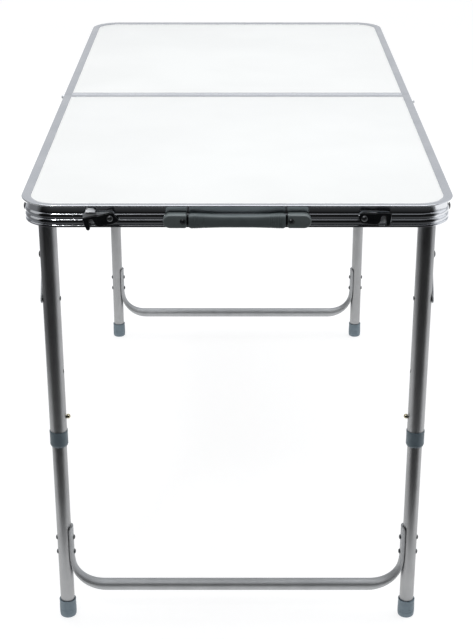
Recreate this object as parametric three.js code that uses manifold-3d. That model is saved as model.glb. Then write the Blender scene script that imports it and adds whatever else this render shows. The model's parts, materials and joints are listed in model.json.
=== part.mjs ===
// Suitcase-style folding camping table, in millimetres, +Z up, standing on the floor at Z = 0.
// Two shallow trays of ribbed aluminium rail and white board are hinged at a seam across the middle.
// Each tray carries a telescopic leg frame that folds up into it. The handle and the clasps are on
// the near end (-Y). X is across the table, Y is along it, and the seam is at SEAM_Y.
import * as THREE from 'three';
import { mergeVertices } from 'three/addons/utils/BufferGeometryUtils.js';
import Module from 'manifold-3d';

const wasm = await Module();
wasm.setup();

// ---------------------------------------------------------------- driving dimensions
const HEIGHT = 700; // floor to rim
const WIDTH = 600;
const HALF_LENGTH = 600; // seam to either end
const GAP = 0.3; // running or resting gap between neighbours

const RAIL = { depth: 33, lip: 13, lipThickness: 1.2, lipDrop: 1.9, corner: 52, wall: 1.6 };
const RIBS = { count: 3, top: 13.4, pitch: 8.2, height: 5.8 }; // depths below the rim
const BOARD = { thickness: 2.7, tuck: 8.2 };

const LEG = { x: 267, y: 545, pivotZ: 681.5, endAbovePivot: 5.5 };
const UPPER_TUBE = { radius: 12.7, wall: 1.2, bottom: 306 };
const LOWER_TUBE = { radius: 11, wall: 1.1, top: 386, bottom: 3.3 };
const HOLES = { first: 351, pitch: 76, count: 2, radius: 4.4 };
const COLLAR = { radius: 13.7, bottom: 303, top: 328.5 };
const FOOT = { radius: 13.1, height: 30, floor: 3 };
const BUTTON = { radius: 4, straight: 2 };
const BRACE = { radius: 9.5, wall: 1.2, barZ: 55.5, bend: 42, top: 162 };
const PRESSED = { from: 118, full: 128, thin: 0.27, widen: 1.12 }; // the brace's ends, pressed flat

const STAY = { studZ: 541, railY: 445, width: 14, thickness: 1.8, hole: 2.6, firstLayer: 280.2 };
const PIVOT_PIN = { radius: 3, head: 5, innerHead: 250.8, outerHead: 298.5 };

const HINGE = { axisZ: 665, barrel: 2.6, pin: 1.4, length: 60, x: 200, reach: 11, leaf: 1.4 };
const BOLT = { z: 690.5, y: 16, height: 4, thickness: 2, length: 40, knob: 3.4, reach: 307.5, shank: 1.9 };
const SLOT = { from: 3.4, to: 18.6, half: 2.3 }; // the slot that the bolt's knob runs in
const KEEPER = { from: 3, to: 11, cheek: 1.2, front: 1.4 };

const HANDLE = { z: 680.3, reach: 13 };
const MOUNT = { inner: 69, outer: 101, height: 19, reach: 11, bevel: 2 };
const GRIP = { half: 66, endHeight: 19.6, waist: 16.6, bevel: 3 };
const CLASP = { x: 173.5, z: 682.6, droop: 12, lever: 5.6, plate: 1.5, rivet: 2.6, stud: 2.5, hook: 26 };
const CLASP_HEAD = { radius: 4.4, back: 3.4, backDepth: 2 }; // heads of the clasps' rivets and catch studs

const FACETS = { tube: 20, pin: 12, hole: 10 }; // flats round a tube, a small pin and a cut hole

// ---------------------------------------------------------------- derived places
const STUD_REACH = 6.5; // how far the clasps' catch studs stand out past the far lip
const SEAM_Y = (HANDLE.reach - STUD_REACH) / 2; // the handle stands out further, so the seam is off centre
const WALL_OUT = 6.2; // outer face of the rail's recess, inward from the lip's edge
const RIB_OUT = 4; // crest of the ribs, inward from the lip's edge
const WALL_IN = WALL_OUT + RAIL.wall;
const FLANGE_IN = 11; // inner edge of the rail's bottom flange
const BOARD_TOP = HEIGHT - RAIL.lipThickness - GAP;
const RIB_FACE = WIDTH / 2 - RIB_OUT;

const X_AXIS = new THREE.Vector3(1, 0, 0);
const Y_AXIS = new THREE.Vector3(0, 1, 0);
const Z_AXIS = new THREE.Vector3(0, 0, 1);

// ---------------------------------------------------------------- materials
const finish = (color, roughness, metalness) => (
  new THREE.MeshStandardMaterial({ color, roughness, metalness }));
const MATERIALS = {
  rail: finish(0xc4c8cb, 0.3, 0.95),
  board: finish(0xf6f6f2, 0.55, 0),
  tube: finish(0xb4b7b8, 0.28, 0.95),
  plastic: finish(0x66727a, 0.55, 0),
  handle: finish(0x4b5451, 0.5, 0),
  clasp: finish(0x15171a, 0.4, 0),
  zinc: finish(0xb9bfc4, 0.35, 0.9),
  rivet: finish(0x4a4e52, 0.4, 0.8),
  brass: finish(0x9c9068, 0.3, 0.9),
};

// ---------------------------------------------------------------- solids
// One closed body: corners merged, empty triangles dropped, faces turned outwards.
function closed(geometry) {
  const bare = new THREE.BufferGeometry();
  bare.setAttribute('position', geometry.getAttribute('position').clone());
  if (geometry.index) bare.setIndex(geometry.index.clone());
  const merged = mergeVertices(bare, 1e-3);
  const at = merged.getAttribute('position');
  const corner = (i) => new THREE.Vector3().fromBufferAttribute(at, i);
  const kept = [];
  let volume = 0;
  for (let i = 0; i < merged.index.count; i += 3) {
    const [a, b, c] = [0, 1, 2].map((k) => merged.index.getX(i + k));
    if (a === b || b === c || a === c) continue;
    volume += corner(a).dot(corner(b).cross(corner(c)));
    kept.push(a, b, c);
  }
  if (volume < 0) kept.reverse();
  merged.setIndex(kept);
  return merged;
}

function toManifold(geometry) {
  const body = closed(geometry);
  return new wasm.Manifold(new wasm.Mesh({
    numProp: 3,
    vertProperties: new Float32Array(body.getAttribute('position').array),
    triVerts: new Uint32Array(body.index.array),
  }));
}

function fromManifold(body) {
  const { vertProperties, triVerts } = body.getMesh();
  const geometry = new THREE.BufferGeometry();
  geometry.setAttribute('position', new THREE.BufferAttribute(new Float32Array(vertProperties), 3));
  geometry.setIndex([...triVerts]);
  return geometry;
}

const cut = (geometry, tools) => fromManifold(
  tools.reduce((body, tool) => body.subtract(toManifold(tool)), toManifold(geometry)));
const join = (geometry, pieces) => fromManifold(
  pieces.reduce((body, piece) => body.add(toManifold(piece)), toManifold(geometry)));

// A round solid about an axis through `at`: profile points are [radius, distance along the axis].
function turned(profile, axis, at = new THREE.Vector3(), segments = 24) {
  const points = profile.map(([r, h]) => new THREE.Vector2(r, h));
  const geometry = new THREE.LatheGeometry(points, segments);
  geometry.applyQuaternion(new THREE.Quaternion().setFromUnitVectors(Y_AXIS, axis));
  return geometry.translate(at.x, at.y, at.z);
}

const rod = (radius, from, to, axis, at, segments = 24) => turned(
  [[0, from], [radius, from], [radius, to], [0, to]], axis, at, segments);
const ring = (inner, outer, from, to, axis, at, segments = 24) => turned(
  [[inner, from], [outer, from], [outer, to], [inner, to], [inner, from]], axis, at, segments);

// A flat outline pushed out by `depth` along the third direction of `basis`.
function pushed(shape, depth, basis, at, options = {}) {
  const settings = { depth, bevelEnabled: false, curveSegments: 8, ...options };
  const geometry = new THREE.ExtrudeGeometry(shape, settings);
  geometry.applyMatrix4(new THREE.Matrix4().makeBasis(...basis));
  return geometry.translate(at.x, at.y, at.z);
}
const FACING_X = [Y_AXIS, Z_AXIS, X_AXIS]; // outline in Y and Z
const FACING_NEAR_END = [X_AXIS, Z_AXIS, Y_AXIS.clone().negate()]; // outline in X and Z, pushed towards -Y

const vec = (x, y, z) => new THREE.Vector3(x, y, z);
const block = (low, high) => {
  const size = high.clone().sub(low);
  const middle = low.clone().add(high).multiplyScalar(0.5);
  return new THREE.BoxGeometry(size.x, size.y, size.z).translate(middle.x, middle.y, middle.z);
};

// A path given by its own stations, so that straight stretches take a single step.
class Stations extends THREE.Curve {
  constructor(points, tangents) {
    super();
    Object.assign(this, { points, tangents });
  }
  index(u) {
    return Math.round(u * (this.points.length - 1));
  }
  getPointAt(u) {
    return this.points[this.index(u)].clone();
  }
  getTangentAt(u) {
    return this.tangents[this.index(u)].clone();
  }
}

// Straight, rounded corner, straight, rounded corner, straight: the shape of the rails and the leg braces.
function uPath(start, corners, end, radius, steps) {
  const points = [start];
  const tangents = [corners[0].clone().sub(start).normalize()];
  corners.forEach((corner, i) => {
    const into = corner.clone().sub(i ? corners[i - 1] : start).normalize();
    const away = (i + 1 < corners.length ? corners[i + 1] : end).clone().sub(corner).normalize();
    const centre = corner.clone().addScaledVector(into, -radius).addScaledVector(away, radius);
    for (let k = 0; k <= steps; k += 1) {
      const turn = (Math.PI / 2) * (k / steps);
      const outward = into.clone().multiplyScalar(Math.sin(turn)).addScaledVector(away, -Math.cos(turn));
      points.push(centre.clone().addScaledVector(outward, radius));
      tangents.push(into.clone().multiplyScalar(Math.cos(turn)).addScaledVector(away, Math.sin(turn)));
    }
  });
  points.push(end);
  tangents.push(end.clone().sub(corners.at(-1)).normalize());
  return new Stations(points, tangents);
}

const along = (shape, path) => new THREE.ExtrudeGeometry(shape, {
  steps: path.points.length - 1, bevelEnabled: false, extrudePath: path, curveSegments: 5,
});

// ---------------------------------------------------------------- trays
// Section of the rail: x is the depth below the rim, y the distance inward from the lip's edge.
function railSection() {
  const steps = 4;
  const swell = WALL_OUT - RIB_OUT;
  const section = new THREE.Shape();
  section.moveTo(0, RAIL.lip);
  section.lineTo(0, 1.2);
  section.lineTo(0.4, 0.3);
  section.lineTo(1.2, 0);
  section.lineTo(RAIL.lipDrop, 0.6);
  section.lineTo(RAIL.lipDrop, WALL_OUT);
  for (let row = 0; row < RIBS.count; row += 1) {
    const top = RIBS.top + row * RIBS.pitch;
    const height = Math.min(RIBS.height, RAIL.depth - top - 0.4);
    for (let k = 0; k <= steps; k += 1) {
      const turn = Math.PI * (k / steps);
      const depth = top + (height / 2) * (1 - Math.cos(turn));
      section.lineTo(depth, WALL_OUT - swell * Math.sin(turn) ** 0.6);
    }
  }
  section.lineTo(RAIL.depth, WALL_OUT + 0.3);
  section.lineTo(RAIL.depth, FLANGE_IN);
  section.lineTo(RAIL.depth - RAIL.lipThickness, FLANGE_IN);
  section.lineTo(RAIL.depth - RAIL.lipThickness, WALL_IN);
  const ledge = HEIGHT - BOARD_TOP + BOARD.thickness + GAP;
  section.lineTo(ledge + 1, WALL_IN);
  section.lineTo(ledge + 1, WALL_IN + 3);
  section.lineTo(ledge, WALL_IN + 3);
  section.lineTo(ledge, WALL_IN);
  section.lineTo(RAIL.lipThickness, WALL_IN);
  section.lineTo(RAIL.lipThickness, RAIL.lip);
  section.closePath();
  return section;
}

// Trays are drawn at the far end; the near one is the far one turned by half a turn.
const facing = (geometry, end) => (end > 0 ? geometry : geometry.rotateZ(Math.PI));

// The ribbed rail round three sides of a tray.
function trayRail(end, holes) {
  const x = WIDTH / 2;
  const corners = [vec(x, HALF_LENGTH, HEIGHT), vec(-x, HALF_LENGTH, HEIGHT)];
  const path = uPath(vec(x, GAP, HEIGHT), corners, vec(-x, GAP, HEIGHT), RAIL.corner, 8);
  return cut(facing(along(railSection(), path), end), holes);
}

// The straight rail along the seam, between the side rails.
function seamRail(end) {
  const reach = WIDTH / 2 - RAIL.lip - GAP;
  const ends = [vec(-reach, GAP, HEIGHT), vec(reach, GAP, HEIGHT)];
  return facing(along(railSection(), new Stations(ends, [X_AXIS, X_AXIS])), end);
}

// The white board, its edges tucked under the lips on all four sides.
function trayBoard(end) {
  const x = WIDTH / 2 - BOARD.tuck;
  const [seam, outer] = [GAP + BOARD.tuck, HALF_LENGTH - BOARD.tuck];
  const r = RAIL.corner - BOARD.tuck;
  const outline = new THREE.Shape();
  outline.moveTo(-x, seam);
  outline.lineTo(x, seam);
  outline.lineTo(x, outer - r);
  outline.absarc(x - r, outer - r, r, 0, Math.PI / 2, false);
  outline.lineTo(-x + r, outer);
  outline.absarc(-x + r, outer - r, r, Math.PI / 2, Math.PI, false);
  outline.closePath();
  const underside = vec(0, 0, BOARD_TOP - BOARD.thickness);
  return facing(pushed(outline, BOARD.thickness, [X_AXIS, Y_AXIS, Z_AXIS], underside), end);
}

// Half of a butt hinge under the seam. The far leaf carries the pin and the two outer barrels.
function hingeLeaf(end, side) {
  const middle = side * HINGE.x;
  const half = HINGE.length / 2;
  const inner = HINGE.length * 0.19;
  const [low, high] = [HINGE.axisZ + GAP, HINGE.axisZ + GAP + HINGE.leaf];
  const strip = (fromX, toX, fromY, toY) => {
    const y = [end * fromY, end * toY].sort((a, b) => a - b);
    return block(vec(middle + fromX, y[0], low), vec(middle + toX, y[1], high));
  };
  const barrel = (radius, from, to) => rod(radius, from, to, X_AXIS, vec(middle, 0, HINGE.axisZ), FACETS.pin);
  const leaf = strip(-half, half, HINGE.barrel + GAP, HINGE.reach);
  const knuckle = HINGE.pin + GAP;
  const tongue = knuckle + 0.2;
  if (end < 0) {
    const curl = strip(-inner, inner, tongue, HINGE.barrel + 1);
    const body = join(leaf, [curl, barrel(HINGE.barrel, -inner, inner)]);
    return cut(body, [barrel(knuckle, -half, half)]);
  }
  const outer = inner + GAP;
  return join(leaf, [
    strip(-half, -outer, 1, HINGE.barrel + 1), strip(outer, half, 1, HINGE.barrel + 1),
    barrel(HINGE.barrel, -half, -outer), barrel(HINGE.barrel, outer, half), barrel(HINGE.pin, -half, half),
  ]);
}

// A block at one side and end of the table, from distances off the centre line and the seam.
function sideBlock(end, side, [fromX, toX], [fromY, toY], z, half) {
  const x = [side * fromX, side * toX].sort((a, b) => a - b);
  const y = [end * fromY, end * toY].sort((a, b) => a - b);
  return block(vec(x[0], y[0], z - half), vec(x[1], y[1], z + half));
}

// Sliding bolt inside the side rail, moved by a thumb knob that stands out through a slot in the rail.
const BOLT_BACK = WIDTH / 2 - WALL_IN - GAP;

function seamBolt(end, side) {
  const across = [BOLT_BACK - BOLT.thickness, BOLT_BACK];
  const bar = sideBlock(end, side, across, [1, 1 + BOLT.length], BOLT.z, BOLT.height / 2);
  const [face, tip] = [RIB_FACE + GAP + 0.1, BOLT.reach];
  const knob = turned([
    [0, BOLT_BACK - 1], [BOLT.shank, BOLT_BACK - 1], [BOLT.shank, face], [BOLT.knob, face],
    [BOLT.knob, tip - 1.8], [BOLT.knob * 0.8, tip - 0.5], [0, tip],
  ], vec(side, 0, 0), vec(0, end * BOLT.y, BOLT.z), FACETS.pin);
  return join(bar, [knob]);
}

const boltSlot = (end, side) => sideBlock(
  end, side, [WIDTH / 2 - WALL_IN - 2, WIDTH / 2], [SLOT.from, SLOT.to], BOLT.z, SLOT.half);

// Bracket inside the opposite side rail that takes the end of the bolt.
function boltKeeper(end, side) {
  const pocketFrom = BOLT_BACK - BOLT.thickness - GAP;
  const pocketHalf = BOLT.height / 2 + GAP;
  const across = [pocketFrom - KEEPER.front, BOLT_BACK];
  const through = [KEEPER.from - 1, KEEPER.to + 1];
  const body = sideBlock(end, side, across, [KEEPER.from, KEEPER.to], BOLT.z, pocketHalf + KEEPER.cheek);
  const pocket = sideBlock(end, side, [pocketFrom, BOLT_BACK + 1], through, BOLT.z, pocketHalf);
  return cut(body, [pocket]);
}

// ---------------------------------------------------------------- leg frames
const legAt = (end, side) => vec(side * LEG.x, end * LEG.y, 0);
const inwards = (side) => vec(-side, 0, 0);

const snapHole = (end, side, radius, z) => rod(
  HOLES.radius, radius - 5, radius + 3, inwards(side), vec(side * LEG.x, end * LEG.y, z), FACETS.hole);

function upperTube(end, side) {
  const { radius, wall, bottom } = UPPER_TUBE;
  const top = LEG.pivotZ + LEG.endAbovePivot;
  const tube = ring(radius - wall, radius, bottom, top, Z_AXIS, legAt(end, side), FACETS.tube);
  const pivot = vec(side * LEG.x, end * LEG.y, LEG.pivotZ);
  const pivotHole = rod(PIVOT_PIN.radius + GAP, -radius - 3, radius + 3, X_AXIS, pivot, FACETS.hole);
  const holes = Array.from(
    { length: HOLES.count }, (_, i) => snapHole(end, side, radius, HOLES.first + i * HOLES.pitch));
  return cut(tube, [pivotHole, ...holes]);
}

function lowerTube(end, side) {
  const { radius, wall, bottom, top } = LOWER_TUBE;
  const tube = ring(radius - wall, radius, bottom, top, Z_AXIS, legAt(end, side), FACETS.tube);
  return cut(tube, [snapHole(end, side, radius, HOLES.first)]);
}

// Plastic collar on the end of the upper tube, with a lip that guides the lower tube.
const collar = (end, side) => turned([
  [LOWER_TUBE.radius + GAP, COLLAR.bottom], [COLLAR.radius - 1, COLLAR.bottom],
  [COLLAR.radius, COLLAR.bottom + 1], [COLLAR.radius, COLLAR.top - 1],
  [COLLAR.radius - 0.3, COLLAR.top], [UPPER_TUBE.radius + GAP, COLLAR.top],
  [UPPER_TUBE.radius + GAP, UPPER_TUBE.bottom - GAP], [LOWER_TUBE.radius + GAP, UPPER_TUBE.bottom - GAP],
  [LOWER_TUBE.radius + GAP, COLLAR.bottom],
], Z_AXIS, legAt(end, side), FACETS.tube);

const foot = (end, side) => turned([
  [0, 0], [FOOT.radius - 2, 0], [FOOT.radius - 0.6, 1.6], [FOOT.radius, 5],
  [FOOT.radius - 0.3, FOOT.height - 1], [FOOT.radius - 1, FOOT.height],
  [LOWER_TUBE.radius + GAP, FOOT.height],
  [LOWER_TUBE.radius + GAP, FOOT.floor], [0, FOOT.floor],
], Z_AXIS, legAt(end, side), FACETS.tube);

// Brass dome just outside the upper tube, in line with its hole.
function snapButton(end, side) {
  const { radius, straight } = BUTTON;
  const dome = [0, 1, 2, 3, 4].map((k) => {
    const turn = (Math.PI / 2) * (k / 4);
    return [radius * Math.cos(turn), straight + radius * Math.sin(turn)];
  });
  dome[4][0] = 0;
  const at = vec(side * (LEG.x - UPPER_TUBE.radius - GAP), end * LEG.y, HOLES.first);
  return turned([[0, 0], [radius, 0], ...dome], inwards(side), at, FACETS.pin);
}

function pivotPin(end, side) {
  const { radius, head, innerHead, outerHead } = PIVOT_PIN;
  const tubeFace = LEG.x - UPPER_TUBE.radius - GAP;
  const ribFace = RIB_FACE + GAP;
  return turned([
    [0, innerHead], [head * 0.7, innerHead + 0.5], [head, tubeFace - 1], [head, tubeFace], [radius, tubeFace],
    [radius, ribFace], [head, ribFace], [head, ribFace + 0.8], [head * 0.7, outerHead - 0.4], [0, outerHead],
  ], vec(side, 0, 0), vec(0, end * LEG.y, LEG.pivotZ), FACETS.pin);
}
const pinHole = (end, side) => rod(
  PIVOT_PIN.radius + GAP, WIDTH / 2 - WALL_IN - 2, WIDTH / 2,
  vec(side, 0, 0), vec(0, end * LEG.y, LEG.pivotZ), FACETS.hole);

// U-shaped tube that joins the two lower legs. Its ends are pressed flat against them.
function uBrace(end) {
  const { radius, wall, barZ, bend, top } = BRACE;
  const face = LEG.x - LOWER_TUBE.radius - GAP;
  const x = face - radius;
  const y = end * LEG.y;
  const path = uPath(vec(-x, y, top), [vec(-x, y, barZ), vec(x, y, barZ)], vec(x, y, top), bend, 8);
  const squeezed = [PRESSED.full, (PRESSED.full + PRESSED.from) / 2, PRESSED.from];
  path.points.splice(1, 0, ...squeezed.map((z) => vec(-x, y, z)));
  path.points.splice(-1, 0, ...squeezed.toReversed().map((z) => vec(x, y, z)));
  path.tangents.splice(1, 0, ...squeezed.map(() => vec(0, 0, -1)));
  path.tangents.splice(-1, 0, ...squeezed.map(() => vec(0, 0, 1)));
  const section = new THREE.Shape().absarc(0, 0, radius, 0, Math.PI * 2);
  section.holes.push(new THREE.Path().absarc(0, 0, radius - wall, 0, Math.PI * 2));
  const tube = new THREE.ExtrudeGeometry(section, {
    steps: path.points.length - 1, bevelEnabled: false, extrudePath: path, curveSegments: 7,
  });
  const at = tube.getAttribute('position');
  for (let i = 0; i < at.count; i += 1) {
    const share = THREE.MathUtils.smoothstep(at.getZ(i), PRESSED.from, PRESSED.full);
    const outside = Math.sign(at.getX(i)) * face;
    at.setX(i, outside + (at.getX(i) - outside) * THREE.MathUtils.lerp(1, PRESSED.thin, share));
    at.setY(i, y + (at.getY(i) - y) * THREE.MathUtils.lerp(1, PRESSED.widen, share));
  }
  return tube;
}

// ---------------------------------------------------------------- folding stays
// Two flat links from the side rail to a stud on the leg. They are in line when the leg is down, and
// their lengths let them lie folded flat on each other when the leg is up.
const stayDrop = LEG.pivotZ - STAY.studZ;
const stayBack = LEG.y - STAY.railY;
const stayOpen = Math.hypot(stayDrop, stayBack);
const stayShut = stayDrop - stayBack;
const STAY_UPPER = (stayOpen + stayShut) / 2;

function stayLink(end, side, from, to, layer) {
  const [dy, dz] = [to.y - from.y, to.z - from.z];
  const length = Math.hypot(dy, dz);
  const r = STAY.width / 2;
  const outline = new THREE.Shape();
  outline.absarc(0, 0, r, Math.PI / 2, Math.PI * 1.5, false);
  outline.absarc(length, 0, r, -Math.PI / 2, Math.PI / 2, false);
  outline.closePath();
  for (const u of [0, length]) {
    outline.holes.push(new THREE.Path().absarc(u, 0, STAY.hole, 0, Math.PI * 2, true));
  }
  const x = STAY.firstLayer + layer * (STAY.thickness + 0.4);
  const plate = pushed(outline, STAY.thickness, FACING_X, vec(0, 0, 0));
  plate.rotateX(Math.atan2(dz, dy));
  return plate.translate(side > 0 ? x : -x - STAY.thickness, from.y, from.z);
}

function stayPoints(end) {
  const rail = vec(0, end * STAY.railY, LEG.pivotZ);
  const stud = vec(0, end * LEG.y, STAY.studZ);
  const knee = rail.clone().lerp(stud, STAY_UPPER / stayOpen);
  return { rail, knee, stud };
}

// ---------------------------------------------------------------- handle and clasps
const NEAR_FACE = HALF_LENGTH - RIB_OUT + GAP; // first face in front of the near rail's ribs

function handleMount(side) {
  const { inner, outer, height, reach, bevel } = MOUNT;
  const r = height / 2;
  const outline = new THREE.Shape();
  outline.moveTo(inner, -r);
  outline.absarc(outer - r, 0, r, -Math.PI / 2, Math.PI / 2, false);
  outline.lineTo(inner, r);
  outline.closePath();
  const depth = HALF_LENGTH + reach - NEAR_FACE - 2 * bevel;
  const body = pushed(outline, depth, FACING_NEAR_END, vec(0, -NEAR_FACE - bevel, HANDLE.z), {
    bevelEnabled: true, bevelThickness: bevel, bevelSize: bevel, bevelOffset: -bevel, bevelSegments: 2,
  });
  return side > 0 ? body : body.scale(-1, 1, 1);
}

function handleGrip() {
  const { half, endHeight, waist, bevel } = GRIP;
  const outline = new THREE.Shape();
  outline.moveTo(-half, -endHeight / 2);
  outline.lineTo(-half * 0.8, -endHeight / 2);
  outline.bezierCurveTo(-half * 0.5, -waist / 2, -half * 0.4, -waist / 2, 0, -waist / 2);
  outline.bezierCurveTo(half * 0.4, -waist / 2, half * 0.5, -waist / 2, half * 0.8, -endHeight / 2);
  outline.lineTo(half, -endHeight / 2);
  outline.lineTo(half, endHeight / 2);
  outline.lineTo(half * 0.8, endHeight / 2);
  outline.bezierCurveTo(half * 0.5, waist / 2, half * 0.4, waist / 2, 0, waist / 2);
  outline.bezierCurveTo(-half * 0.4, waist / 2, -half * 0.5, waist / 2, -half * 0.8, endHeight / 2);
  outline.lineTo(-half, endHeight / 2);
  outline.closePath();
  const depth = HANDLE.reach - GAP - 2 * bevel;
  return pushed(outline, depth, FACING_NEAR_END, vec(0, -HALF_LENGTH - GAP - bevel, HANDLE.z), {
    bevelEnabled: true, bevelThickness: bevel, bevelSize: bevel, bevelOffset: -bevel, bevelSegments: 2,
    curveSegments: 6,
  });
}

const leverFace = NEAR_FACE + CLASP.plate + GAP;

// Black lever: round about its rivet, with a hook at its free end that opens downwards.
function claspLever(side) {
  const outline = new THREE.Shape();
  outline.absarc(0, 0, 8, Math.PI / 2, Math.PI * 1.45, false);
  outline.lineTo(19, -7.8);
  outline.quadraticCurveTo(22.4, -4, 22.4, 1);
  outline.quadraticCurveTo(22.8, 3.9, 26, 4);
  outline.quadraticCurveTo(29.4, 3.9, 29.6, 1);
  outline.lineTo(30.4, -8.6);
  outline.quadraticCurveTo(31, -10.6, 33, -10.4);
  outline.quadraticCurveTo(35, -10.2, 35.2, -8.4);
  outline.lineTo(37, 5.4);
  outline.quadraticCurveTo(37, 7, 35, 7.2);
  outline.lineTo(26, 8.4);
  outline.lineTo(16, 7.4);
  outline.closePath();
  const bore = new THREE.Path().absarc(0, 0, CLASP.rivet + GAP, 0, Math.PI * 2, true);
  outline.holes.push(bore);
  const lever = pushed(outline, CLASP.lever, FACING_NEAR_END, vec(0, -leverFace, 0), { curveSegments: 4 });
  if (side < 0) lever.rotateY(THREE.MathUtils.degToRad(CLASP.droop)).scale(-1, 1, 1);
  return lever.translate(side * CLASP.x, 0, CLASP.z);
}

// Zinc plate behind the lever, with a raised tab behind the hook.
function claspPlate(side) {
  const outline = new THREE.Shape();
  outline.absarc(0, 0, 8.2, Math.PI / 2, Math.PI * 1.5, false);
  outline.lineTo(36, -8.2);
  outline.lineTo(37.5, -6.7);
  outline.lineTo(37.5, 11);
  outline.lineTo(34, 12.5);
  outline.lineTo(25, 12.5);
  outline.lineTo(21.5, 8.2);
  outline.closePath();
  outline.holes.push(new THREE.Path().absarc(0, 0, CLASP.rivet + GAP, 0, Math.PI * 2, true));
  const plate = pushed(outline, CLASP.plate, FACING_NEAR_END, vec(0, -NEAR_FACE, 0), { curveSegments: 4 });
  if (side < 0) plate.scale(-1, 1, 1);
  return plate.translate(side * CLASP.x, 0, CLASP.z);
}

const wallInside = HALF_LENGTH - WALL_IN - GAP;
const backHead = [
  [0, wallInside - CLASP_HEAD.backDepth], [CLASP_HEAD.back, wallInside - CLASP_HEAD.backDepth],
  [CLASP_HEAD.back, wallInside],
];

function claspRivet(side) {
  const head = leverFace + CLASP.lever + GAP;
  return turned([
    ...backHead, [CLASP.rivet, wallInside], [CLASP.rivet, head],
    [CLASP_HEAD.radius, head], [4.2, head + 0.9], [2.8, head + 1.9], [0, head + 2.3],
  ], vec(0, -1, 0), vec(side * CLASP.x, 0, CLASP.z), FACETS.pin);
}

// Stud on the far end that the hook drops over when the table is shut.
const catchZ = 2 * HINGE.axisZ - (CLASP.z - CLASP.hook);
const studTip = HALF_LENGTH + STUD_REACH;
const catchStud = (side) => turned([
  ...backHead, [CLASP.stud, wallInside], [CLASP.stud, studTip - 2.2], [CLASP_HEAD.radius, studTip - 2.2],
  [CLASP_HEAD.radius, studTip - 1], [3, studTip], [0, studTip],
], Y_AXIS, vec(side * CLASP.x, 0, catchZ), FACETS.pin);
const endHole = (end, side, z, radius) => rod(
  radius + GAP, wallInside - 1, HALF_LENGTH, vec(0, end, 0), vec(side * CLASP.x, 0, z), FACETS.hole);

// ---------------------------------------------------------------- assembly
const table = new THREE.Group();
const built = new THREE.Group();
built.position.y = SEAM_Y;
table.add(built);

function add(name, material, geometry) {
  const mesh = new THREE.Mesh(closed(geometry), MATERIALS[material]);
  mesh.geometry.computeVertexNormals();
  mesh.name = name;
  built.add(mesh);
}

const ENDS = { near: -1, far: 1 };
const SIDES = { left: -1, right: 1 };

for (const [half, end] of Object.entries(ENDS)) {
  const holes = Object.values(SIDES).flatMap((side) => [
    pinHole(end, side),
    end < 0 ? endHole(end, side, CLASP.z, CLASP.rivet) : endHole(end, side, catchZ, CLASP.stud),
  ]);
  const boltSide = -end; // the same bolt is used on both sides, turned round: left on the far tray
  add(`${half}_rail`, 'rail', trayRail(end, [...holes, boltSlot(end, boltSide)]));
  add(`${half}_seam_rail`, 'rail', seamRail(end));
  add(`${half}_board`, 'board', trayBoard(end));
  add(`seam_bolt_${boltSide < 0 ? 'left' : 'right'}`, 'zinc', seamBolt(end, boltSide));
  add(`bolt_keeper_${boltSide < 0 ? 'right' : 'left'}`, 'zinc', boltKeeper(end, -boltSide));
  add(`${half}_leg_brace`, 'tube', uBrace(end));
  const { rail, knee, stud } = stayPoints(end);
  for (const [hand, side] of Object.entries(SIDES)) {
    const leg = `${half}_${hand}`;
    add(`${leg}_hinge_leaf`, 'zinc', hingeLeaf(end, side));
    add(`${leg}_pivot_pin`, 'rivet', pivotPin(end, side));
    add(`${leg}_upper_tube`, 'tube', upperTube(end, side));
    add(`${leg}_collar`, 'plastic', collar(end, side));
    add(`${leg}_lower_tube`, 'tube', lowerTube(end, side));
    add(`${leg}_foot`, 'plastic', foot(end, side));
    add(`${leg}_snap_button`, 'brass', snapButton(end, side));
    add(`${leg}_stay_upper`, 'zinc', stayLink(end, side, rail, knee, 1));
    add(`${leg}_stay_lower`, 'zinc', stayLink(end, side, knee, stud, 0));
  }
}

add('handle_grip', 'handle', handleGrip());
for (const [hand, side] of Object.entries(SIDES)) {
  add(`handle_mount_${hand}`, 'handle', handleMount(side));
  add(`clasp_lever_${hand}`, 'clasp', claspLever(side));
  add(`clasp_plate_${hand}`, 'zinc', claspPlate(side));
  add(`clasp_rivet_${hand}`, 'rivet', claspRivet(side));
  add(`catch_stud_${hand}`, 'zinc', catchStud(side));
}

export default table;
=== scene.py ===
# Folding camping table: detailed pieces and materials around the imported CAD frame.
# Shapes are drawn in millimetres, with the seam at Y = 0 and the floor at Z = 0; `in_place` takes them to
# the row frame. Left and right are as seen from the handle end, which is the near (-Y) end.
import json
from math import atan2, copysign, cos, exp, pi, radians, sin, tan

import bmesh
import bpy
from mathutils import Matrix, Vector


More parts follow.
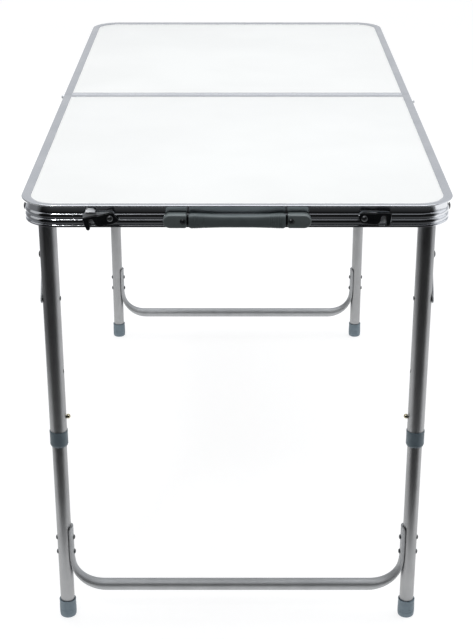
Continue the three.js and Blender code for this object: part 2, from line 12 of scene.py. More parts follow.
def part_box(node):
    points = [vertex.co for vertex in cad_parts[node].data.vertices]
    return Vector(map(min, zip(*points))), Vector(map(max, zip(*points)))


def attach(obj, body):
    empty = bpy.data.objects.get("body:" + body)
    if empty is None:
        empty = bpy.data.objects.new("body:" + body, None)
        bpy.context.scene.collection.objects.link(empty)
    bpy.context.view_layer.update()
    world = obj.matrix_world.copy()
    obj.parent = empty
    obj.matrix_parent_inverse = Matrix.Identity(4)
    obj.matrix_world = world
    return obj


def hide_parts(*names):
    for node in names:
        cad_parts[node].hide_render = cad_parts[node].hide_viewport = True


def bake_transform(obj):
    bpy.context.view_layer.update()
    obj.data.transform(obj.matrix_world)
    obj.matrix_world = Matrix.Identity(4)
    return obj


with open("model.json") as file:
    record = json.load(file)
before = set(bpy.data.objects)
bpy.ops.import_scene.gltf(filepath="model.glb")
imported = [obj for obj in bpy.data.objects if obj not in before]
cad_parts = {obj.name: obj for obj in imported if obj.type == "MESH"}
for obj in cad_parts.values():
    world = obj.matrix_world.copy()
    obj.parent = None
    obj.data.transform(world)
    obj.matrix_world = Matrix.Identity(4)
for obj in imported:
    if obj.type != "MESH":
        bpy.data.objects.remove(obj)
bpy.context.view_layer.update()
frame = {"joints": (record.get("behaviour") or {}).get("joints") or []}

MM = 0.001
JOINTS = {joint["name"]: joint for joint in frame["joints"]}
HALVES = {"near": -1, "far": 1}
HANDS = {"left": -1, "right": 1}
X, Y, Z = Vector((1, 0, 0)), Vector((0, 1, 0)), Vector((0, 0, 1))


# ---- sizes read from the frame, in millimetres
def corners(node):
    low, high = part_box(node)
    return low / MM, high / MM


def size(node):
    low, high = corners(node)
    return high - low


def middle(node):
    low, high = corners(node)
    return (low + high) / 2


def joint_place(name):
    return Vector(JOINTS[name]["pos_m"]) / MM


SEAM = joint_place("table_fold").y
HINGE_Z = joint_place("table_fold").z
HALF_WIDTH = size("far_rail").x / 2
RAIL_LOW, RAIL_HIGH = corners("far_rail")
HALF_LENGTH = RAIL_HIGH.y - SEAM
SEAM_GAP = RAIL_LOW.y - SEAM
RIM_Z = RAIL_HIGH.z
RAIL_DEPTH = size("far_rail").z
RAIL_CORNER = 52
BOARD_EDGE = HALF_WIDTH - size("far_board").x / 2
BOARD_TOP = corners("far_board")[1].z
BOARD_THICK = size("far_board").z
LIP = size("far_seam_rail").y

LEG_X = middle("far_right_foot").x
LEG_Y = middle("far_right_foot").y - SEAM
PIVOT_Z = joint_place("far_leg_fold").z
UPPER_R = size("far_right_upper_tube").x / 2
UPPER_BOTTOM, UPPER_TOP = (corner.z for corner in corners("far_right_upper_tube"))
LOWER_R = size("far_right_lower_tube").x / 2
LOWER_BOTTOM, LOWER_TOP = (corner.z for corner in corners("far_right_lower_tube"))
COLLAR_R = size("far_right_collar").x / 2
COLLAR_BOTTOM, COLLAR_TOP = (corner.z for corner in corners("far_right_collar"))
FOOT_R = size("far_right_foot").x / 2
FOOT_HEIGHT = size("far_right_foot").z
BUTTON_Z = middle("far_right_snap_button").z
HOLE_PITCH = 76
BRACE_LOW, BRACE_HIGH = corners("far_leg_brace")
BRACE_R = 9.5
BRACE_Z = BRACE_LOW.z + BRACE_R

TO_SEAM = Vector((0, SEAM, 0))
STAY_RAIL = joint_place("far_right_stay_upper_turn") - TO_SEAM
STAY_KNEE = joint_place("far_right_stay_lower_turn") - TO_SEAM
STAY_R = 7
STAY_STUD = Vector((0, LEG_Y, corners("far_right_stay_lower")[0].z + STAY_R))


# ---- outlines and meshes
def rounded(points, steps=4, closed=True):
    """The outline through (x, y, corner radius) points, with an arc at each corner that has a radius."""
    outline = []
    count = len(points)
    for i, (x, y, radius) in enumerate(points):
        here = Vector((x, y))
        if radius == 0 or (not closed and i in (0, count - 1)):
            outline.append(here)
            continue
        before = Vector(points[i - 1][:2]) - here
        after = Vector(points[(i + 1) % count][:2]) - here
        half = before.angle(after) / 2
        if half > radians(89):
            outline.append(here)
            continue
        reach = min(radius / tan(half), 0.48 * before.length, 0.48 * after.length)
        before.normalize()
        after.normalize()
        centre = here + (before + after).normalized() * (reach / cos(half))
        start, end = here + before * reach - centre, here + after * reach - centre
        first = atan2(start.y, start.x)
        sweep = atan2(start.x * end.y - start.y * end.x, start.dot(end))
        for k in range(steps + 1):
            turn = first + sweep * k / steps
            outline.append(centre + Vector((cos(turn), sin(turn))) * start.length)
    return outline


def arc(centre, radius, start, end, steps=12):
    """Points (x, y, 0) on an arc, with its angles in degrees."""
    turns = [radians(start + (end - start) * k / steps) for k in range(steps + 1)]
    return [(centre[0] + radius * cos(a), centre[1] + radius * sin(a), 0) for a in turns]


def mesh_from(vertices, faces):
    mesh = bpy.data.meshes.new("part")
    mesh.from_pydata([tuple(v) for v in vertices], [], faces)
    return welded(mesh, 1e-4, dissolve=False)


def skin(loops, closed):
    """Points and faces over a row of loops with the same number of points, closed on itself or open."""
    count = len(loops[0])
    vertices = [v for loop in loops for v in loop]
    faces = []
    for i in range(len(loops) if closed else len(loops) - 1):
        j = (i + 1) % len(loops)
        for k in range(count):
            m = (k + 1) % count
            faces.append((i * count + k, i * count + m, j * count + m, j * count + k))
    return vertices, faces


def turned(profile, sides):
    """A round body about +Z from (radius, height) points, a ring if the profile never meets the axis."""
    loops = [[(r * cos(2 * pi * k / sides), r * sin(2 * pi * k / sides), h)
              for k in range(sides)] for r, h in profile]
    return mesh_from(*skin(loops, closed=min(r for r, _ in profile) > 0))


def lathe(points, sides, steps=4):
    """A round body about +Z from (radius, height, corner radius) points."""
    hollow = min(point[0] for point in points) > 0
    return turned(rounded(points, steps, closed=hollow), sides)


def swept(sections, hollow=False):
    """A skin over a row of loops with the same number of points, capped, or closed on itself."""
    count = len(sections[0])
    vertices, faces = skin(sections, closed=hollow)
    if not hollow:
        faces.append(tuple(range(count)))
        faces.append(tuple(range((len(sections) - 1) * count, len(sections) * count)))
    return mesh_from(vertices, faces)


def capsule(start, end, radius):
    """Outline of a slot or a link along X, round about its two ends."""
    return [*arc((start, 0), radius, 90, 270), *arc((end, 0), radius, -90, 90)]


def placed(name, data):
    """A new object with this data, in the scene."""
    holder = bpy.data.objects.new(name, data)
    bpy.context.scene.collection.objects.link(holder)
    return holder


def plate(outlines, thickness, edge):
    """A flat plate with edges softened by `edge`, from z = 0 up, from an outline and any holes."""
    curve = bpy.data.curves.new("plate", "CURVE")
    curve.dimensions = "2D"
    curve.fill_mode = "BOTH"
    curve.extrude = thickness / 2 - edge
    curve.bevel_depth = edge
    curve.bevel_resolution = 2
    curve.offset = -edge
    for outline in outlines:
        spline = curve.splines.new("POLY")
        spline.points.add(len(outline) - 1)
        for point, place in zip(spline.points, outline):
            point.co = (place[0], place[1], 0, 1)
        spline.use_cyclic_u = True
    mesh = evaluated(placed("plate", curve))
    bpy.data.curves.remove(curve)
    mesh.transform(Matrix.Translation((0, 0, thickness / 2)))
    return welded(mesh)


def evaluated(holder):
    """The mesh that an object's curve or modifiers make; the object itself is removed."""
    depsgraph = bpy.context.evaluated_depsgraph_get()
    mesh = bpy.data.meshes.new_from_object(holder.evaluated_get(depsgraph))
    bpy.data.objects.remove(holder)
    return mesh


def welded(mesh, distance=1e-3, dissolve=True):
    """The mesh with its doubled points joined, its slivers dissolved if asked, and its faces all outward."""
    tidy = bmesh.new()
    tidy.from_mesh(mesh)
    bmesh.ops.remove_doubles(tidy, verts=tidy.verts, dist=distance)
    if dissolve:
        bmesh.ops.dissolve_degenerate(tidy, edges=tidy.edges, dist=distance)
    bmesh.ops.recalc_face_normals(tidy, faces=tidy.faces)
    tidy.to_mesh(mesh)
    tidy.free()
    return mesh


def merged(*meshes):
    """Several meshes as one, without joining their surfaces."""
    whole = bmesh.new()
    for mesh in meshes:
        whole.from_mesh(mesh)
    result = bpy.data.meshes.new("part")
    whole.to_mesh(result)
    whole.free()
    return result


def cut(mesh, tools):
    """The mesh with each tool cut out of it."""
    holder = placed("work", mesh)
    helpers = [placed("tool", tool) for tool in tools]
    for helper in helpers:
        modifier = holder.modifiers.new("cut", "BOOLEAN")
        modifier.operation = "DIFFERENCE"
        modifier.solver = "EXACT"
        modifier.object = helper
    result = evaluated(holder)
    for helper in helpers:
        bpy.data.objects.remove(helper)
    return welded(result)


def box(low, high, edge=0.0):
    """A block between two corners, its edges rounded where `edge` is given."""
    block = bmesh.new()
    bmesh.ops.create_cube(block, size=1)
    low, high = Vector(low), Vector(high)
    for vertex in block.verts:
        vertex.co = (low + high) / 2 + Vector(c * s for c, s in zip(vertex.co, high - low))
    if edge:
        bmesh.ops.bevel(block, geom=block.edges, offset=edge, segments=2, profile=0.5, affect="EDGES")
    mesh = bpy.data.meshes.new("block")
    block.to_mesh(mesh)
    block.free()
    return mesh


def turned_to(mesh, x_axis, y_axis, z_axis, origin):
    """The mesh with its own axes laid along these directions, at this origin."""
    matrix = Matrix((x_axis, y_axis, z_axis)).transposed().to_4x4()
    matrix.translation = Vector(origin)
    mesh.transform(matrix)
    if matrix.determinant() < 0:
        mesh.flip_normals()
    return mesh


def along_x(mesh, x, y, z):
    """A body that rises along +Z laid along +X, its base at this place."""
    return turned_to(mesh, -Z, Y, X, (x, y, z))


def against_x(mesh, x, y, z):
    """A body that rises along +Z laid along -X, its base at this place."""
    return turned_to(mesh, Z, Y, -X, (x, y, z))


def towards_near(mesh, x, y, z):
    """A body that rises along +Z laid along -Y, its base at this place."""
    return turned_to(mesh, X, Z, -Y, (x, y, z))


def shaft(radius, length, sides=24):
    """A plain round bar on z = 0, for the inside of a fastener or a drill."""
    return turned([(0, 0), (radius, 0), (radius, length), (0, length)], sides)


def in_place(mesh, side=1, end=1, about_turn=False):
    """Takes a mesh drawn at the far right to its side and end, in the row frame's metres."""
    mesh = mesh.copy()
    if about_turn and end < 0:
        mesh.transform(Matrix.Rotation(pi, 4, "Z"))
    else:
        mesh.transform(Matrix.Diagonal((side, end, 1, 1)))
        if side * end < 0:
            mesh.flip_normals()
    mesh.transform(Matrix.Scale(MM, 4) @ Matrix.Translation(TO_SEAM))
    return mesh


def piece(name, mesh, material, body, replaces):
    """A finished piece: its mesh is already in place, in metres."""
    holder = placed(name, mesh)
    mesh.name = name
    mesh.materials.clear()
    mesh.materials.append(material)
    mesh.polygons.foreach_set("use_smooth", [True] * len(mesh.polygons))
    mesh.set_sharp_from_angle(angle=radians(40))
    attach(holder, body)
    if replaces:
        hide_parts(*replaces)


# ---- materials
def ramp(tree, value, stops):
    """Maps a value to colours: stops are (position, colour)."""
    node = tree.nodes.new("ShaderNodeValToRGB")
    elements = node.color_ramp.elements
    while len(elements) < len(stops):
        elements.new(0.5)
    for element, (position, colour) in zip(elements, stops):
        element.position = position
        element.color = (*colour, 1)
    tree.links.new(value, node.inputs["Fac"])
    return node.outputs["Color"]


class Finish:
    """A Principled material with helpers for its procedural detail, in the object's own coordinates."""

    def __init__(self, name, **sockets):
        self.material = bpy.data.materials.new(name)
        self.material.use_nodes = True
        self.tree = self.material.node_tree
        self.shader = self.tree.nodes["Principled BSDF"]
        for key, value in sockets.items():
            self.shader.inputs[key.replace("_", " ").title().replace("Ior", "IOR")].default_value = value
        self.place = self.node("ShaderNodeTexCoord").outputs["Object"]
        self.height = None

    def node(self, kind):
        return self.tree.nodes.new(kind)

    def link(self, output, socket):
        self.tree.links.new(output, socket)

    def noise(self, per_metre, detail, roughness=0.55, stretch=(1, 1, 1)):
        """Soft random values; `per_metre` is how many blobs a metre holds."""
        noise, mapping = self.node("ShaderNodeTexNoise"), self.node("ShaderNodeMapping")
        for key, number in (("Scale", per_metre), ("Detail", detail), ("Roughness", roughness)):
            noise.inputs[key].default_value = number
        mapping.inputs["Scale"].default_value = stretch
        self.link(self.place, mapping.inputs["Vector"])
        self.link(mapping.outputs["Vector"], noise.inputs["Vector"])
        return noise.outputs["Fac"]

    def colour(self, value, low, high):
        self.link(ramp(self.tree, value, [(0.35, low), (0.65, high)]), self.shader.inputs["Base Color"])

    def rough(self, value, low, high):
        """Roughness between low and high, over the middle range of a noise value."""
        spread = self.node("ShaderNodeMapRange")
        for key, number in zip(("From Min", "From Max", "To Min", "To Max"), (0.3, 0.7, low, high)):
            spread.inputs[key].default_value = number
        self.link(value, spread.inputs["Value"])
        self.link(spread.outputs["Result"], self.shader.inputs["Roughness"])

    def bump(self, value, depth_mm, strength):
        """Adds surface relief; several calls add up."""
        bump = self.node("ShaderNodeBump")
        bump.inputs["Distance"].default_value = depth_mm * MM
        bump.inputs["Strength"].default_value = strength
        self.link(value, bump.inputs["Height"])
        if self.height is not None:
            self.link(self.height, bump.inputs["Normal"])
        self.height = bump.outputs["Normal"]
        self.link(self.height, self.shader.inputs["Normal"])
        return self


def drawn_rail():
    """Bright drawn aluminium: die lines run level, round the tray."""
    finish = Finish("drawn_rail_aluminium", metallic=1.0)
    lines = finish.noise(60, detail=2, stretch=(1, 1, 60))
    finish.colour(finish.noise(14, detail=4), (0.70, 0.72, 0.75), (0.77, 0.785, 0.81))
    finish.rough(lines, 0.11, 0.14)
    return finish.bump(lines, 0.0006, 0.6).bump(finish.noise(60, detail=1), 0.004, 0.4).material


def leg_tube():
    """Satin anodised tube with faint lengthwise drawing marks."""
    finish = Finish("satin_leg_aluminium", metallic=1.0)
    streaks = finish.noise(700, detail=3, stretch=(1, 1, 0.02))
    finish.colour(finish.noise(25, detail=5), (0.355, 0.36, 0.365), (0.395, 0.40, 0.405))
    finish.rough(streaks, 0.38, 0.44)
    return finish.bump(streaks, 0.003, 0.5).bump(finish.noise(2500, detail=2), 0.001, 0.5).material


def brace_tube():
    """The brace's brighter tube, with rubbed patches and no lengthwise grain round its bends."""
    finish = Finish("bright_brace_aluminium", metallic=1.0)
    finish.colour(finish.noise(35, detail=5), (0.43, 0.44, 0.45), (0.47, 0.48, 0.49))
    finish.rough(finish.noise(120, detail=6, roughness=0.7), 0.50, 0.58)
    return finish.bump(finish.noise(1800, detail=3), 0.0015, 0.5).material


def laminate():
    """White laminate with a fine orange-peel texture."""
    finish = Finish("white_laminate", specular_ior_level=0.4)
    mottle = finish.noise(320, detail=3, roughness=0.6)
    finish.colour(finish.noise(6, detail=2), (0.90, 0.905, 0.885), (0.925, 0.93, 0.91))
    finish.rough(mottle, 0.38, 0.52)
    return finish.bump(mottle, 0.06, 0.35).bump(finish.noise(1500, detail=2), 0.01, 0.3).material


def moulded(name, dark, light, rough, grain_mm=0.03):
    """Injection-moulded plastic with a fine eroded grain and slight flow clouds."""
    finish = Finish(name, specular_ior_level=0.45)
    grain = finish.noise(2200, detail=3)
    finish.colour(finish.noise(45, detail=5), dark, light)
    finish.rough(grain, rough - 0.06, rough + 0.08)
    return finish.bump(grain, grain_mm, 0.4).material


def plated(name, dark, light, rough, metallic=1.0):
    """Plated steel with the faint mottling of its crystals."""
    finish = Finish(name, metallic=metallic)
    crystals = finish.node("ShaderNodeTexVoronoi")
    crystals.inputs["Scale"].default_value = 420
    finish.link(finish.place, crystals.inputs["Vector"])
    finish.colour(finish.noise(90, detail=6, roughness=0.65), dark, light)
    finish.rough(finish.noise(400, detail=4), rough - 0.05, rough + 0.08)
    finish.bump(crystals.outputs["Distance"], 0.01, 0.25)
    return finish.bump(finish.noise(1500, detail=3), 0.008, 0.4).material


RAIL = drawn_rail()
TUBE = leg_tube()
BRACE = brace_tube()
BOARD = laminate()
PLASTIC = moulded("blue_grey_plastic", (0.165, 0.218, 0.256), (0.20, 0.258, 0.30), 0.46)
HANDLE = moulded("grey_green_plastic", (0.125, 0.15, 0.154), (0.15, 0.178, 0.181), 0.5)
CAP = moulded("light_grey_green_plastic", (0.18, 0.209, 0.209), (0.21, 0.242, 0.242), 0.48)
BLACK = moulded("black_plastic", (0.004, 0.005, 0.006), (0.009, 0.010, 0.012), 0.26, 0.008)
ZINC = plated("zinc_plate", (0.84, 0.88, 0.91), (0.93, 0.95, 0.97), 0.36, 0.2)
DARK_STEEL = plated("dark_rivet", (0.10, 0.105, 0.11), (0.17, 0.175, 0.18), 0.32)
BRASS = plated("worn_brass", (0.46, 0.40, 0.26), (0.62, 0.57, 0.42), 0.22)
SPRING = plated("spring_steel", (0.30, 0.31, 0.33), (0.42, 0.43, 0.45), 0.25)


# ---- trays
RIB_FIRST, RIB_PITCH, RIB_HEIGHT, RIB_COUNT = 13.8, 8.1, 5.8, 3
RIB_STEPS = 8
RIB_UP = radians(40)      # how far a rib's face turns up at its top edge
RIB_DOWN = radians(16)    # and down at its bottom edge
COVE = 0.4       # hollow of the recess above the ribs
COVE_STEPS = 6
WALL_OUT = 6.2   # outer face of the rail's recess, inward from the lip's edge
RIB_OUT = 4.0    # crest of the ribs
WALL = 1.6
LIP_THICK = 1.2
LIP_EDGE = 1.9   # depth of the lip's outer edge
COVE_TOP = 2.6
RIB_GAP = 0.6    # between the cove and the first rib
FLANGE_IN = 11   # how far in the bottom flange reaches
LEDGE_REACH = 3  # shelf under the board's edge
WALL_IN_X = HALF_WIDTH - WALL_OUT - WALL


def rail_section():
    """The rail's section as (inward, down) points: a domed lip, a recess, three ribs and a bottom flange."""
    wall_in = WALL_OUT + WALL
    points = [
        (LIP, LIP_THICK - 0.1, 0.15), (LIP, 0.95, 0.2), (9.6, 0.25, 2.0), (8.6, 0.0, 1.5),
        (0.0, 0.0, 1.4), (0.0, LIP_EDGE, 0.6), (WALL_OUT, LIP_EDGE, 0.8),
    ]
    for k in range(1, COVE_STEPS):
        share = k / COVE_STEPS
        down = COVE_TOP + (RIB_FIRST - RIB_GAP - COVE_TOP) * share
        points.append((WALL_OUT + 4 * COVE * share * (1 - share), down, 0))
    for row in range(RIB_COUNT):
        top = RIB_FIRST + row * RIB_PITCH
        height = min(RIB_HEIGHT, RAIL_DEPTH - 0.3 - top)
        radius = height / (sin(RIB_UP) + sin(RIB_DOWN))
        points.append((WALL_OUT, top, 0.3))
        for k in range(RIB_STEPS + 1):
            turn = (RIB_UP + RIB_DOWN) * k / RIB_STEPS - RIB_UP
            down = top + radius * (sin(RIB_UP) + sin(turn))
            points.append((RIB_OUT + radius * (1 - cos(turn)), down, 0))
        points.append((WALL_OUT, top + height, 0.3))
    ledge = RIM_Z - BOARD_TOP + BOARD_THICK + SEAM_GAP
    points += [
        (WALL_OUT - 0.6, RAIL_DEPTH, 0.3), (FLANGE_IN, RAIL_DEPTH, 0.4),
        (FLANGE_IN, RAIL_DEPTH - LIP_THICK, 0.4), (wall_in, RAIL_DEPTH - LIP_THICK, 0.6),
        (wall_in, ledge + 1, 0.2), (wall_in + LEDGE_REACH, ledge + 1, 0.3),
        (wall_in + LEDGE_REACH, ledge, 0.3), (wall_in, ledge, 0.1), (wall_in, LIP_THICK, 0.2),
    ]
    return rounded(points, steps=3)


def section_at(place, inward):
    return [place + inward * u - Z * v for u, v in rail_section()]


def tray_rail(slot):
    """The rail round the far tray's sides and end, with the bolt's slot through its left side."""
    loops = [section_at(Vector((HALF_WIDTH, SEAM_GAP, RIM_Z)), -X)]
    steps = 20
    for side in (1, -1):
        centre = Vector((side * (HALF_WIDTH - RAIL_CORNER), HALF_LENGTH - RAIL_CORNER, RIM_Z))
        for k in range(steps + 1):
            share = k / steps if side > 0 else 1 - k / steps
            turn = radians(90 * share)
            outward = Vector((side * cos(turn), sin(turn), 0))
            loops.append(section_at(centre + outward * RAIL_CORNER, -outward))
    loops.append(section_at(Vector((-HALF_WIDTH, SEAM_GAP, RIM_Z)), X))
    return cut(swept(loops), [slot])


def seam_rail():
    reach = size("far_seam_rail").x / 2
    return swept([section_at(Vector((x, SEAM_GAP, RIM_Z)), Y) for x in (-reach, reach)])


def tray_board():
    x = HALF_WIDTH - BOARD_EDGE
    near, far = SEAM_GAP + BOARD_EDGE, HALF_LENGTH - BOARD_EDGE
    corner = RAIL_CORNER - BOARD_EDGE
    outline = rounded([(-x, near, 0), (x, near, 0), (x, far, corner), (-x, far, corner)], steps=10)
    board = plate([outline], BOARD_THICK, edge=0.3)
    return turned_to(board, X, Y, Z, (0, 0, BOARD_TOP - BOARD_THICK))


BOLT_LOW, BOLT_HIGH = corners("seam_bolt_left")
BOLT_Z = (BOLT_LOW.z + BOLT_HIGH.z) / 2
BOLT_KNOB_R = (BOLT_HIGH.z - BOLT_LOW.z) / 2
BOLT_Y = 16
BOLT_TRAVEL = JOINTS["seam_bolt_left_slide"]["range_m"][1] / MM
BOLT_BACK = WALL_IN_X - SEAM_GAP


def bolt_slot():
    """Cutter for the slot that the bolt's knob runs in, on the far tray's left side."""
    half = 2.3
    outline = capsule(BOLT_Y - BOLT_TRAVEL - half, BOLT_Y + half, half)
    cutter = swept([[Vector((x, y, z)) for x, y, _ in outline] for z in (0, 12)])
    return turned_to(cutter, Y, Z, -X, (-HALF_WIDTH + 12, 0, BOLT_Z))


def seam_bolt():
    """Flat bolt inside the far tray's left rail, with its domed thumb knob outside."""
    bar = box((-BOLT_BACK, 1, BOLT_Z - 2), (-BOLT_BACK + 2, 41, BOLT_Z + 2), edge=0.35)
    face, tip = HALF_WIDTH - RIB_OUT + SEAM_GAP + 0.1, -BOLT_LOW.x
    neck = 1.9
    knob = lathe([
        (0, BOLT_BACK - 1, 0), (neck, BOLT_BACK - 1, 0), (neck, face, 0.2), (BOLT_KNOB_R, face, 0.5),
        (BOLT_KNOB_R, face + 2.6, 0.8), (BOLT_KNOB_R - 0.7, face + 4.2, 0.8), (BOLT_KNOB_R, face + 5.8, 0.8),
        (BOLT_KNOB_R - 0.1, tip - 2.2, 1.2), (1.6, tip, 1.5), (0, tip, 0)], 32)
    return merged(bar, against_x(knob, 0, BOLT_Y, BOLT_Z))


def bolt_keeper():
    """Folded bracket on the near tray's left rail, drawn at the far end."""
    low, high = corners("bolt_keeper_right")
    back, front = high.x, low.x
    half = (high.z - low.z) / 2
    reach, web, flange = front - back, 1.4, 1.2
    outline = rounded([
        (0, -half, 0), (reach, -half, 1.2), (reach, half, 1.2), (0, half, 0), (0, half - flange, 0.2),
        (reach + web, half - flange, 0.4), (reach + web, flange - half, 0.4), (0, flange - half, 0.2)])
    folded = swept([[Vector((back + u, y, BOLT_Z + v)) for u, v in outline] for y in (3, 11)])
    return merged(folded, against_x(domed_head(1.9, 0.8), front + 0.1, 7, BOLT_Z))


def domed_head(radius, height, sink=0.0):
    """A low rounded rivet head on z = 0, its foot `sink` below."""
    rise = [(radius * cos(a), height * sin(a)) for a in map(radians, (20, 35, 50, 65, 78))]
    return turned([(0, -sink), (radius * 0.94, -sink), (radius, 0.12 * height), *rise, (0, height)], 32)


def hinge_leaf(end):
    """Half of the right-hand butt hinge under the seam; the far leaf carries the pin."""
    low, high = corners("far_right_hinge_leaf")
    middle_x, half = (low.x + high.x) / 2, (high.x - low.x) / 2
    reach = high.y - SEAM
    inner = 0.38 * half
    barrel_r, pin_r, thick = 2.6, 1.4, 1.4
    screw_y, screw_row = 7.2, (-22, 0, 22)
    floor = HINGE_Z + SEAM_GAP
    tab = [(-half, 3.0, 0.3), (half, 3.0, 0.3), (half, reach, 3.0), (-half, reach, 3.0)]
    holes = [rounded(arc((x, screw_y), 1.8, 0, 330, 11)) for x in screw_row]
    leaf = turned_to(plate([rounded(tab), *holes], thick, 0.25), X, Y, Z, (middle_x, 0, floor))
    screws = [turned_to(domed_head(2.8, 0.55), X, -Y, -Z, (middle_x + x, screw_y, floor - 0.02))
              for x in screw_row]
    spans = [(-inner, inner)] if end < 0 else [(-half, -inner - SEAM_GAP), (inner + SEAM_GAP, half)]
    curls = []
    for start, stop in spans:
        curl = lathe([(pin_r + SEAM_GAP, start, 0.2), (barrel_r, start, 0.3), (barrel_r, stop, 0.3),
                      (pin_r + SEAM_GAP, stop, 0.2)], 32, steps=3)
        curls.append(along_x(curl, middle_x, 0, HINGE_Z))
        curls.append(box((middle_x + start, 1.9, floor), (middle_x + stop, 3.6, floor + thick), 0.2))
    if end > 0:
        pin = lathe([(0, -half, 0), (pin_r, -half, 0.4), (pin_r, half, 0.4), (0, half, 0)], 24)
        curls.append(along_x(pin, middle_x, 0, HINGE_Z))
    return merged(leaf, *screws, *curls)


def tray_piece(name, mesh, half, material, body, node):
    """A piece drawn on the far tray, turned about the middle of the table for the near one."""
    piece(name, in_place(mesh, 1, HALVES[half], about_turn=True), material, body, [node])


slot = bolt_slot()
for half, end in HALVES.items():
    body = f"{half}_half"
    tray_piece(f"{half}_ribbed_rail", tray_rail(slot), half, RAIL, body, f"{half}_rail")
    tray_piece(f"{half}_seam_bar", seam_rail(), half, RAIL, body, f"{half}_seam_rail")
    tray_piece(f"{half}_laminate_board", tray_board(), half, BOARD, body, f"{half}_board")
    for hand, side in HANDS.items():
        node = f"{half}_{hand}_hinge_leaf"
        piece(f"{node}_plate", in_place(hinge_leaf(end), side, end), ZINC, body, [node])
for hand in HANDS:
    own, other = ("far", "near") if hand == "left" else ("near", "far")
    bolt, keeper = f"seam_bolt_{hand}", f"bolt_keeper_{hand}"
    tray_piece(f"thumb_bolt_{hand}", seam_bolt(), own, ZINC, bolt, bolt)
    tray_piece(f"bolt_catch_{hand}", bolt_keeper(), other, ZINC, f"{other}_half", keeper)


# ---- leg frames
UPPER_WALL = 1.2
LOWER_WALL = 1.1
BUTTON_HOLE_R = 4.4
PIN_HOLE_R = 3.3


def stood(mesh):
    """A body that rises along +Z, stood on the far right leg's axis."""
    return turned_to(mesh, X, Y, Z, (LEG_X, LEG_Y, 0))


def through_leg(mesh, start, z):
    """A body that rises along +Z, laid across the far right leg from this X outwards."""
    return along_x(mesh, start, LEG_Y, z)


def drill(radius, start, length, z):
    """Cutter for a hole across the leg."""
    return through_leg(shaft(radius, length, 32), start, z)


def leg_tube_mesh(radius, wall, bottom, top, holes):
    inner = radius - wall
    edge = 0.35
    profile = [(inner, bottom, edge), (radius, bottom, edge), (radius, top, edge), (inner, top, edge)]
    return cut(stood(lathe(profile, 64)), holes)


def upper_tube():
    start = LEG_X - UPPER_R - 3
    holes = [drill(BUTTON_HOLE_R, start, UPPER_R, BUTTON_Z + k * HOLE_PITCH) for k in range(2)]
    holes.append(drill(PIN_HOLE_R, LEG_X - 20, 40, PIVOT_Z))
    return leg_tube_mesh(UPPER_R, UPPER_WALL, UPPER_BOTTOM, UPPER_TOP, holes)


def lower_tube():
    holes = [drill(BUTTON_HOLE_R, LEG_X - LOWER_R - 3, LOWER_R, BUTTON_Z)]
    return leg_tube_mesh(LOWER_R, LOWER_WALL, LOWER_BOTTOM, LOWER_TOP, holes)


def leg_collar():
    """Moulded collar: chamfered foot, a shallow waist and a thin raised lip at its mouth."""
    bore_low, bore_high = LOWER_R + SEAM_GAP, UPPER_R + SEAM_GAP
    shelf = UPPER_BOTTOM - SEAM_GAP
    return lathe([
        (bore_low, COLLAR_BOTTOM, 0.3), (COLLAR_R - 1.3, COLLAR_BOTTOM, 0.5),
        (COLLAR_R - 0.1, COLLAR_BOTTOM + 3.2, 1.0), (COLLAR_R - 0.2, COLLAR_BOTTOM + 12, 2.0),
        (COLLAR_R - 0.2, COLLAR_TOP - 4.2, 0.5),
        (COLLAR_R, COLLAR_TOP - 3.6, 0.3), (COLLAR_R, COLLAR_TOP - 0.5, 0.5),
        (bore_high, COLLAR_TOP, 0.2), (bore_high, shelf, 0.1), (bore_low, shelf, 0.1)], 64, steps=3)


def leg_foot():
    """Moulded foot cap with two shallow grip rings and a softly rounded tread."""
    bore = LOWER_R + SEAM_GAP
    rings = []
    for z in (10, 14):
        rings += [(FOOT_R, z - 0.8, 0.3), (FOOT_R - 0.5, z, 0.6), (FOOT_R, z + 0.8, 0.3)]
    return lathe([
        (0, 0, 0), (FOOT_R - 0.6, 0, 2.4), (FOOT_R - 0.2, 4.5, 2.0), *rings,
        (FOOT_R - 0.3, FOOT_HEIGHT - 3, 1.0), (FOOT_R, FOOT_HEIGHT, 0.6), (bore, FOOT_HEIGHT, 0.3),
        (bore, 3, 0.3), (0, 3, 0)], 64, steps=3)


BUTTON_LOW, BUTTON_HIGH = corners("far_right_snap_button")


def snap_button():
    """Ball-nosed button on a short neck, pointing to the middle of the table."""
    height = BUTTON_HIGH.x - BUTTON_LOW.x
    ball = 3.7
    nose = [(ball * cos(a), height - ball + ball * sin(a), 0)
            for a in map(radians, range(-30, 90, 12))]
    button = lathe([(0, 0, 0), (2.9, 0, 0), (2.6, 0.4, 0.3), *nose, (0, height, 0)], 40)
    return against_x(button, BUTTON_HIGH.x, LEG_Y, BUTTON_Z)


def button_spring():
    """V-shaped strip inside the lower tube that pushes the button out."""
    half_wide, half_thick = 3.5, 0.25
    inside = LOWER_R - LOWER_WALL - 0.4
    spine = [(-inside + 0.6, -9, 0), (-inside + 0.6, 6, 1.0), (-2.5, 32, 3.0), (2.5, 36, 3.0),
             (inside - 0.8, 4, 8.0), (inside - 0.6, -14, 0)]
    line = rounded(spine, steps=6, closed=False)
    loops = []
    for i, point in enumerate(line):
        ahead = line[min(i + 1, len(line) - 1)] - line[max(i - 1, 0)]
        across = Vector((-ahead.y, ahead.x)).normalized() * half_thick
        loops.append([Vector((LEG_X + p.x, LEG_Y + hand * half_wide, BUTTON_Z + p.y)) for p, hand in
                      zip((point + across, point + across, point - across, point - across), (-1, 1, 1, -1))])
    return swept(loops)


